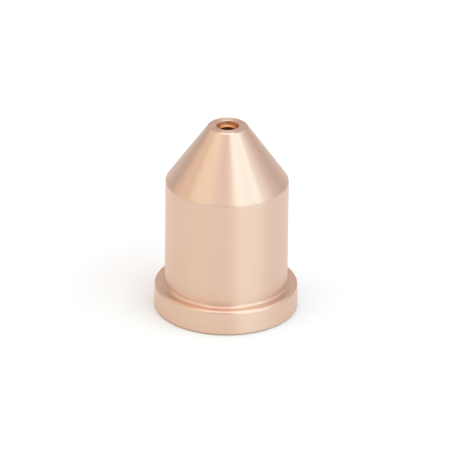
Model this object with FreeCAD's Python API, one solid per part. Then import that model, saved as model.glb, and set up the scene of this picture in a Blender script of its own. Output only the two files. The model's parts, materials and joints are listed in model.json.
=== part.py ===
import FreeCAD, Part
import math
import os

# A plasma torch nozzle: a single turning in copper, bored out from behind.
#
# It stands on its flange with the tip up. The origin is the middle of the flange's bottom face,
# and +Z runs up the axis to the tip. Lengths are in millimetres and angles in degrees.

# Outside
overall_length = 30.3
flange_diameter = 22.0
flange_thickness = 4.0
flange_bottom_chamfer = 0.3
flange_top_edge_radius = 0.5
root_fillet_radius = 0.45        # between the flange's shoulder and the body
body_diameter = 18.85
cone_half_angle = 35.0           # from the axis
cone_edge_radius = 0.5           # between the body and the cone
nose_diameter = 5.9              # where the cone would meet the flat of the tip
nose_edge_radius = 0.5

# Tip: the arc leaves by the orifice, whose mouth lies in a shallow counterbore
counterbore_diameter = 3.4
counterbore_depth = 0.5
counterbore_chamfer = 0.08       # at its rim
orifice_diameter = 2.1
orifice_chamfer = 0.25           # at the floor of the counterbore
orifice_length = 4.0             # straight land, with its chamfer

# Inside: the swirl ring seats in the flange, and the electrode stands in the chamber
seat_diameter = 16.0
seat_depth = 3.0
seat_chamfer = 0.4
chamber_diameter = 13.0
funnel_half_angle = 45.0         # the chamber's end narrows to the orifice
funnel_edge_radius = 1.0         # between the chamber's wall and the funnel
throat_radius = 0.6              # rounding from the funnel into the orifice


def radius(diameter):
    return diameter / 2


def rise(run, angle_from_axis):
    """The height over which a cone of that half angle grows by run in radius."""
    return run / math.tan(math.radians(angle_from_axis))


def outside_corners():
    """The outside of the section, from the flange's bottom face up to the flat of the tip.

    Each corner is (radius, height, rounding).
    """
    cone_height = rise(radius(body_diameter) - radius(nose_diameter), cone_half_angle)
    return [
        (radius(flange_diameter) - flange_bottom_chamfer, 0, 0),
        (radius(flange_diameter), flange_bottom_chamfer, 0),
        (radius(flange_diameter), flange_thickness, flange_top_edge_radius),
        (radius(body_diameter), flange_thickness, root_fillet_radius),
        (radius(body_diameter), overall_length - cone_height, cone_edge_radius),
        (radius(nose_diameter), overall_length, nose_edge_radius),
    ]


def inside_corners():
    """The bore, from the counterbore's rim in the tip down to the mouth in the flange."""
    floor = overall_length - counterbore_depth
    throat = floor - orifice_length
    chamber_top = throat - rise(radius(chamber_diameter - orifice_diameter), funnel_half_angle)
    return [
        (radius(counterbore_diameter) + counterbore_chamfer, overall_length, 0),
        (radius(counterbore_diameter), overall_length - counterbore_chamfer, 0),
        (radius(counterbore_diameter), floor, 0),
        (radius(orifice_diameter) + orifice_chamfer, floor, 0),
        (radius(orifice_diameter), floor - orifice_chamfer, 0),
        (radius(orifice_diameter), throat, throat_radius),
        (radius(chamber_diameter), chamber_top, funnel_edge_radius),
        (radius(chamber_diameter), seat_depth, 0),
        (radius(seat_diameter), seat_depth, 0),
        (radius(seat_diameter), seat_chamfer, 0),
        (radius(seat_diameter) + seat_chamfer, 0, 0),
    ]


def section_point(corner):
    """The corner as a point of the XZ half plane, where X is the radius."""
    return FreeCAD.Vector(corner[0], 0, corner[1])


def eased_corner(before, corner, after):
    """The ends and the middle of the arc that is tangent to both sides of a corner.

    A corner with no rounding gives its own point three times.
    """
    point = section_point(corner)
    rounding = corner[2]
    if rounding == 0:
        return point, point, point
    back = (section_point(before) - point).normalize()
    ahead = (section_point(after) - point).normalize()
    half_angle = back.getAngle(ahead) / 2
    setback = rounding / math.tan(half_angle)
    inwards = (back + ahead).normalize()
    middle = point + inwards * (rounding / math.sin(half_angle) - rounding)
    return point + back * setback, middle, point + ahead * setback


def section_wire(corners):
    """A closed wire through the corners: straight sides, joined by tangent arcs where rounded."""
    count = len(corners)
    eased = [
        eased_corner(corners[i - 1], corners[i], corners[(i + 1) % count]) for i in range(count)
    ]
    edges = []
    for i in range(count):
        start, middle, end = eased[i]
        if corners[i][2] > 0:
            edges.append(Part.Arc(start, middle, end).toShape())
        edges.append(Part.LineSegment(end, eased[(i + 1) % count][0]).toShape())
    return Part.Wire(edges)


def nozzle():
    """The section turned once round the axis."""
    section = Part.Face(section_wire(outside_corners() + inside_corners()))
    return section.revolve(FreeCAD.Vector(0, 0, 0), FreeCAD.Vector(0, 0, 1), 360)


os.makedirs("parts", exist_ok=True)
nozzle().exportStep("parts/nozzle.step")
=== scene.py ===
import json
import math

import bpy
import numpy as np
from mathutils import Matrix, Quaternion, Vector


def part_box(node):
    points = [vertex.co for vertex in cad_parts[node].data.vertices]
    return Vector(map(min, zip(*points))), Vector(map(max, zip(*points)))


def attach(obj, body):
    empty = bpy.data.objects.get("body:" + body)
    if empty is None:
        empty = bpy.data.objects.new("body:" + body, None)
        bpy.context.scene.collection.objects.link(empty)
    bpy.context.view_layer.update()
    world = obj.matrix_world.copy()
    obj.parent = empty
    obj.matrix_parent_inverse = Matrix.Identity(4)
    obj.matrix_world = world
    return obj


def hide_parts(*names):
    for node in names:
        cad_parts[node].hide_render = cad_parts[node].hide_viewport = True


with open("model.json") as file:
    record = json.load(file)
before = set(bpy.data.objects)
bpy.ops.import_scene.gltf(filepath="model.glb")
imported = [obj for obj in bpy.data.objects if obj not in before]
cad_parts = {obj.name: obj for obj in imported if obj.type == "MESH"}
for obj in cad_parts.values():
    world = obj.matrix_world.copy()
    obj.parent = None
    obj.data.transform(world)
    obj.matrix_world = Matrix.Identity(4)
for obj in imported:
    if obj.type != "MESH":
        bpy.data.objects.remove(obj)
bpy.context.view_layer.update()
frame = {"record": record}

MM = 0.001

# ---------------------------------------------------------------------------------------------
# Sizes. What the frame states comes from the frame, and the rest is named here, in metres.
# ---------------------------------------------------------------------------------------------

LOW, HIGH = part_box("nozzle")
MOUNTS = {mount["name"]: mount for mount in frame["record"]["mounts"]}


def mount_radius(name):
    """The radius that a mount of the frame's record states, in metres."""
    return MOUNTS[name]["dims"]["r_mm"] * MM


OVERALL_LENGTH = HIGH.z - LOW.z
FLANGE_RADIUS = mount_radius("flange_rim")
FLANGE_THICKNESS = MOUNTS["flange_shoulder"]["pos_m"][2]
BODY_RADIUS = mount_radius("body")
SEAT_RADIUS = mount_radius("ring_seat")
CHAMBER_RADIUS = mount_radius("chamber")

FLANGE_BOTTOM_CHAMFER = 0.3 * MM
FLANGE_TOP_EDGE_RADIUS = 0.5 * MM
ROOT_FILLET_RADIUS = 0.45 * MM
CONE_HALF_ANGLE = math.radians(35)
CONE_EDGE_RADIUS = 0.5 * MM
NOSE_RADIUS = 2.95 * MM              # where the cone would meet the flat of the tip
NOSE_EDGE_RADIUS = 0.5 * MM
COUNTERBORE_RADIUS = 1.7 * MM
COUNTERBORE_DEPTH = 0.5 * MM
COUNTERBORE_CHAMFER = 0.08 * MM
ORIFICE_RADIUS = 1.05 * MM
ORIFICE_CHAMFER = 0.25 * MM
ORIFICE_LENGTH = 4.0 * MM
THROAT_RADIUS = 0.6 * MM
FUNNEL_HALF_ANGLE = math.radians(45)
FUNNEL_EDGE_RADIUS = 1.0 * MM
SEAT_DEPTH = 3.0 * MM
SEAT_CHAMFER = 0.4 * MM

# ---------------------------------------------------------------------------------------------
# Shader maths, written as Python expressions
# ---------------------------------------------------------------------------------------------


class Value:
    """A node's output. An operator on it adds the Math node that works it out."""

    def __init__(self, tree, socket):
        self.tree = tree
        self.socket = socket

    def math(self, operation, *inputs):
        return self.tree.node("ShaderNodeMath", {"operation": operation}, dict(enumerate(inputs)))

    def __add__(self, other):
        return self.math("ADD", self, other)

    def __radd__(self, other):
        return self.math("ADD", other, self)

    def __sub__(self, other):
        return self.math("SUBTRACT", self, other)

    def __mul__(self, other):
        return self.math("MULTIPLY", self, other)

    def __pow__(self, other):
        return self.math("POWER", self, other)


class Tree:
    """A material's node tree, to which nodes are added by type, settings and inputs."""

    def __init__(self, name):
        self.material = bpy.data.materials.new(name)
        self.material.use_nodes = True
        self.nodes = self.material.node_tree.nodes
        self.links = self.material.node_tree.links
        self.nodes.clear()

    def node(self, kind, settings=None, inputs=None, output=0):
        """Adds a node, sets its settings first and then its inputs, and returns one output."""
        made = self.nodes.new(kind)
        for name, value in (settings or {}).items():
            setattr(made, name, value)
        for name, value in (inputs or {}).items():
            if isinstance(value, Value):
                self.links.new(value.socket, made.inputs[name])
            else:
                made.inputs[name].default_value = value
        return Value(self, made.outputs[output])

    def position(self):
        """The Object coordinates in metres, as one vector and as a list of three values."""
        place = self.node("ShaderNodeTexCoord", output="Object")
        apart = self.node("ShaderNodeSeparateXYZ", inputs={0: place})
        outputs = apart.socket.node.outputs
        return place, [Value(self, outputs[axis]) for axis in range(3)]

    def smooth_step(self, value, low, high):
        """0 below low and 1 above high, with an S-shaped rise between them."""
        settings = {"interpolation_type": "SMOOTHSTEP"}
        return self.node("ShaderNodeMapRange", settings, {0: value, 1: low, 2: high})

    def noise(self, along, size, detail):
        """Noise along one value, with features of that size, from 0 to 1."""
        inputs = {"W": along, "Scale": 1 / size, "Detail": detail}
        return self.node("ShaderNodeTexNoise", {"noise_dimensions": "1D"}, inputs)

    def blotches(self, place, size, detail):
        """Noise in space, with features of that size, from 0 to 1."""
        inputs = {"Vector": place, "Scale": 1 / size, "Detail": detail}
        return self.node("ShaderNodeTexNoise", inputs=inputs)

    def mix_colors(self, share, first, second):
        """A colour between two others. Inputs 6 and 7 and output 2 are the node's colour sockets."""
        inputs = {"Factor": share, 6: first, 7: second}
        return self.node("ShaderNodeMix", {"data_type": "RGBA"}, inputs, output=2)

    def surface(self, inputs):
        """The one Principled shader, joined to the material's output."""
        shader = self.node("ShaderNodeBsdfPrincipled", inputs=inputs)
        result = self.nodes.new("ShaderNodeOutputMaterial")
        self.links.new(shader.socket, result.inputs["Surface"])
        return self.material


# ---------------------------------------------------------------------------------------------
# Finishes
# ---------------------------------------------------------------------------------------------


FINE_MARK_SIZE = 0.05 * MM
BROAD_MARK_SIZE = 0.6 * MM
MARK_DEPTH = 0.004 * MM
TARNISH_SIZE = 5 * MM
BORE_COLOR_FADE = 0.03 * MM    # on each side of the counterbore's wall


def turned_copper():
    """Bare copper, finished with fine feed marks that run round the axis.

    The marks are noise along height minus distance from the axis. That grows steadily up the body
    and the cone and inwards over the flat faces, so it numbers the marks on all of them. Inside the
    counterbore's wall the copper is smoother, and its colour is painted shade: darker and redder
    than the copper outside, as the recess looks in shade.
    """
    tree = Tree("turned_copper")
    place, (x, y, height) = tree.position()
    from_axis = (x * x + y * y) ** 0.5
    along = height - from_axis

    fine_marks = tree.noise(along, FINE_MARK_SIZE, detail=1.0)
    broad_marks = tree.noise(along, BROAD_MARK_SIZE, detail=3.0)
    tarnish = tree.blotches(place, TARNISH_SIZE, detail=3.0)
    outside_counterbore = tree.smooth_step(
        from_axis, COUNTERBORE_RADIUS - BORE_COLOR_FADE, COUNTERBORE_RADIUS + BORE_COLOR_FADE
    )

    pale = (0.85, 0.605, 0.475, 1)
    deep = (0.82, 0.565, 0.435, 1)
    # painted shade of the recess: the copper inside the counterbore and the orifice is painted darker
    # and redder
    bore = (0.62, 0.27, 0.13, 1)
    turned = tree.mix_colors(broad_marks * 0.5 + tarnish * 0.5, deep, pale)
    roughness = 0.22 + outside_counterbore * 0.12 + fine_marks * 0.05 + broad_marks * 0.03
    marks = fine_marks * 0.7 + broad_marks * 0.3
    bump = {"Height": marks, "Strength": 0.3, "Distance": MARK_DEPTH}
    return tree.surface({
        # inside the counterbore's wall the painted shade colour takes over from the turned copper
        "Base Color": tree.mix_colors(outside_counterbore, bore, turned),
        "Metallic": 1.0,
        "Roughness": roughness,
        "Anisotropic": 0.88,
        "Anisotropic Rotation": 0.25,
        "Normal": tree.node("ShaderNodeBump", inputs=bump),
    })


def white_sweep():
    """The studio's white paper."""
    tree = Tree("white_sweep")
    return tree.surface({
        "Base Color": (0.92, 0.92, 0.92, 1),
        "Roughness": 0.9,
        "Specular IOR Level": 0.1,
    })


# ---------------------------------------------------------------------------------------------
# The nozzle
# ---------------------------------------------------------------------------------------------

SEGMENTS = 256           # round the axis
ARC_STEPS = 10           # along a rounded edge
ROW_SPACING = 0.6 * MM   # along a straight side
SEAM_GAP = 0.02 * MM     # from a corner to the first row beside it, so that flats shade flat
SHARP_ANGLE = math.radians(25)    # edges that bend more than this shade as sharp


def section_corners():
    """The nozzle's half section as (radius, height, rounding), from the flange's bottom edge up
    the outside to the tip and down the bore to the mouth."""
    cone_base = OVERALL_LENGTH - (BODY_RADIUS - NOSE_RADIUS) / math.tan(CONE_HALF_ANGLE)
    counterbore_floor = OVERALL_LENGTH - COUNTERBORE_DEPTH
    throat = counterbore_floor - ORIFICE_LENGTH
    funnel_base = throat - (CHAMBER_RADIUS - ORIFICE_RADIUS) / math.tan(FUNNEL_HALF_ANGLE)
    return [
        (FLANGE_RADIUS - FLANGE_BOTTOM_CHAMFER, 0, 0),
        (FLANGE_RADIUS, FLANGE_BOTTOM_CHAMFER, 0),
        (FLANGE_RADIUS, FLANGE_THICKNESS, FLANGE_TOP_EDGE_RADIUS),
        (BODY_RADIUS, FLANGE_THICKNESS, ROOT_FILLET_RADIUS),
        (BODY_RADIUS, cone_base, CONE_EDGE_RADIUS),
        (NOSE_RADIUS, OVERALL_LENGTH, NOSE_EDGE_RADIUS),
        (COUNTERBORE_RADIUS + COUNTERBORE_CHAMFER, OVERALL_LENGTH, 0),
        (COUNTERBORE_RADIUS, OVERALL_LENGTH - COUNTERBORE_CHAMFER, 0),
        (COUNTERBORE_RADIUS, counterbore_floor, 0),
        (ORIFICE_RADIUS + ORIFICE_CHAMFER, counterbore_floor, 0),
        (ORIFICE_RADIUS, counterbore_floor - ORIFICE_CHAMFER, 0),
        (ORIFICE_RADIUS, throat, THROAT_RADIUS),
        (CHAMBER_RADIUS, funnel_base, FUNNEL_EDGE_RADIUS),
        (CHAMBER_RADIUS, SEAT_DEPTH, 0),
        (SEAT_RADIUS, SEAT_DEPTH, 0),
        (SEAT_RADIUS, SEAT_CHAMFER, 0),
        (SEAT_RADIUS + SEAT_CHAMFER, 0, 0),
    ]


def eased_corner(before, corner, after):
    """Points on the arc of the corner's rounding that is tangent to both of its sides.

    The arc's centre lies on the line that halves the corner, at rounding over the sine of half the
    corner's angle. Its points are the centre minus that rounding times a direction that turns evenly
    from square to the first side to square to the second. A sharp corner gives its own point.
    """
    point, rounding = np.array(corner[:2]), corner[2]
    if rounding == 0:
        return point[None, :]
    back = np.array(before[:2]) - point
    ahead = np.array(after[:2]) - point
    back /= np.linalg.norm(back)
    ahead /= np.linalg.norm(ahead)
    half_angle = math.acos(np.clip(back @ ahead, -1, 1)) / 2
    inwards = (back + ahead) / np.linalg.norm(back + ahead)
    centre = point + inwards * rounding / math.sin(half_angle)
    across = (back - ahead) / np.linalg.norm(back - ahead)
    turn = np.linspace(math.pi / 2 - half_angle, half_angle - math.pi / 2, ARC_STEPS + 1)
    return centre + rounding * (np.outer(np.sin(turn), across) - np.outer(np.cos(turn), inwards))


def straight_side(start, end):
    """Rows between two arcs or corners: one a seam gap from each end, and the rest evenly apart."""
    length = np.linalg.norm(end - start)
    gap = min(SEAM_GAP, length / 4)
    rows = max(2, math.ceil(length / ROW_SPACING))
    share = np.linspace(gap / length, 1 - gap / length, rows)
    return start + np.outer(share, end - start)


def section_rows():
    """The half section as one closed run of (radius, height) rows."""
    corners = section_corners()
    count = len(corners)
    eased = [eased_corner(corners[i - 1], corners[i], corners[(i + 1) % count]) for i in range(count)]
    runs = []
    for i in range(count):
        runs.append(eased[i])
        runs.append(straight_side(eased[i][-1], eased[(i + 1) % count][0]))
    return np.concatenate(runs)


def revolved(name, rows, segments):
    """A closed run of (radius, height) rows turned round the Z axis.

    The point of row i at segment j is (radius_i cos a_j, radius_i sin a_j, height_i), with a_j going
    evenly round the circle. Rows and segments both wrap, so the surface is closed.
    """
    angles = np.linspace(0, 2 * math.pi, segments, endpoint=False)
    radius, height = rows[:, :1], rows[:, 1:]
    x, y, z = np.broadcast_arrays(radius * np.cos(angles), radius * np.sin(angles), height)
    points = np.stack([x, y, z], axis=2)
    corner = np.arange(len(rows) * segments).reshape(len(rows), segments)
    beside = np.roll(corner, -1, axis=1)
    faces = np.stack(
        [corner, beside, np.roll(beside, -1, axis=0), np.roll(corner, -1, axis=0)], axis=2
    )
    mesh = bpy.data.meshes.new(name)
    mesh.from_pydata(points.reshape(-1, 3), [], faces.reshape(-1, 4).tolist())
    mesh.shade_smooth()
    mesh.set_sharp_from_angle(angle=SHARP_ANGLE)
    piece = bpy.data.objects.new(name, mesh)
    bpy.context.scene.collection.objects.link(piece)
    return piece


def make_nozzle():
    """The whole nozzle as one turned piece, which takes the place of its CAD node."""
    nozzle = revolved("turned_nozzle", section_rows(), SEGMENTS)
    nozzle.data.materials.append(turned_copper())
    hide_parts("nozzle")
    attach(nozzle, "root")


# ---------------------------------------------------------------------------------------------
# Studio
# ---------------------------------------------------------------------------------------------

FLOOR_SIZE = 6.0
SOFTBOX_DISTANCE = 1.2        # of those round the nozzle
TOP_SOFTBOX_DISTANCE = 1.6


def make_floor():
    """A square sheet of white paper under the nozzle."""
    half = FLOOR_SIZE / 2
    corners = [(-half, -half, 0), (half, -half, 0), (half, half, 0), (-half, half, 0)]
    mesh = bpy.data.meshes.new("floor")
    mesh.from_pydata(corners, [], [(0, 1, 2, 3)])
    floor = bpy.data.objects.new("floor", mesh)
    bpy.context.scene.collection.objects.link(floor)
    mesh.materials.append(white_sweep())


def from_front(azimuth, elevation, distance):
    """An offset of that length. Both angles are in degrees: azimuth 0 is in front, 90 to the right."""
    turn, lift = math.radians(azimuth), math.radians(elevation)
    flat = distance * math.cos(lift)
    return Vector((flat * math.sin(turn), -flat * math.cos(turn), distance * math.sin(lift)))


def add_softbox(name, azimuth, elevation, distance, width, depth, radiance):
    """A rectangular light that faces the nozzle's foot.

    Radiance is its brightness as seen, by channel, and its power is pi times radiance times area.
    """
    strength = max(radiance)
    light = bpy.data.lights.new(name, "AREA")
    light.shape = "RECTANGLE"
    light.size = width
    light.size_y = depth
    light.energy = strength * math.pi * width * depth
    light.color = [channel / strength for channel in radiance]
    softbox = bpy.data.objects.new(name, light)
    softbox.location = from_front(azimuth, elevation, distance)
    softbox.rotation_euler = (-softbox.location).to_track_quat("-Z", "Y").to_euler()
    bpy.context.scene.collection.objects.link(softbox)


def light_studio():
    """Even light from all round, and the softboxes that the copper's bands mirror."""
    world = bpy.data.worlds.new("studio")
    bpy.context.scene.world = world
    world.use_nodes = True
    background = world.node_tree.nodes["Background"]
    background.inputs["Color"].default_value = (0.50, 0.50, 0.48, 1)
    background.inputs["Strength"].default_value = 1.0
    add_softbox("key_softbox", 44, 30, SOFTBOX_DISTANCE, 1.10, 1.35, (0.66, 1.08, 1.22))
    add_softbox("right_softbox", 84, 40, SOFTBOX_DISTANCE, 0.60, 0.90, (0.70, 0.85, 0.95))
    add_softbox("right_back_softbox", 118, 38, SOFTBOX_DISTANCE, 0.60, 0.70, (0.55, 0.50, 0.60))
    add_softbox("left_softbox", -60, 38, SOFTBOX_DISTANCE, 0.75, 1.00, (0.70, 0.74, 0.58))
    add_softbox("left_back_softbox", -105, 38, SOFTBOX_DISTANCE, 0.75, 0.80, (0.70, 0.55, 0.40))
    add_softbox("back_softbox", 180, 27, SOFTBOX_DISTANCE, 2.00, 0.45, (0.25, 0.18, 0.22))
    add_softbox("low_softbox", 0, 6, SOFTBOX_DISTANCE, 2.20, 0.40, (0.45, 0.35, 0.35))
    add_softbox("top_softbox", 0, 89, TOP_SOFTBOX_DISTANCE, 1.20, 1.20, (2.30, 2.25, 2.38))


VIEW_ELEVATION = 25.7           # degrees above the level
VIEW_DISTANCE = 1.0776          # from AIM
VIEW_WIDTH = 69.18 * MM         # what the view covers from side to side at AIM
VIEW_ROLL = math.radians(0.62)
AIM = Vector((-0.10 * MM, 0, 13.3 * MM))
SENSOR_WIDTH = 36.0             # millimetres
CLIP_START = 0.05
CLIP_END = 20


def place_camera():
    data = bpy.data.cameras.new("camera")
    data.sensor_width = SENSOR_WIDTH
    data.lens = SENSOR_WIDTH * VIEW_DISTANCE / VIEW_WIDTH
    data.clip_start = CLIP_START
    data.clip_end = CLIP_END
    camera = bpy.data.objects.new("camera", data)
    camera.location = AIM + from_front(0, VIEW_ELEVATION, VIEW_DISTANCE)
    facing = (AIM - camera.location).to_track_quat("-Z", "Y")
    camera.rotation_euler = (facing @ Quaternion((0, 0, 1), VIEW_ROLL)).to_euler()
    bpy.context.scene.collection.objects.link(camera)
    bpy.context.scene.camera = camera


make_nozzle()
make_floor()
light_studio()
place_camera()
bpy.context.scene.view_settings.view_transform = "Standard"
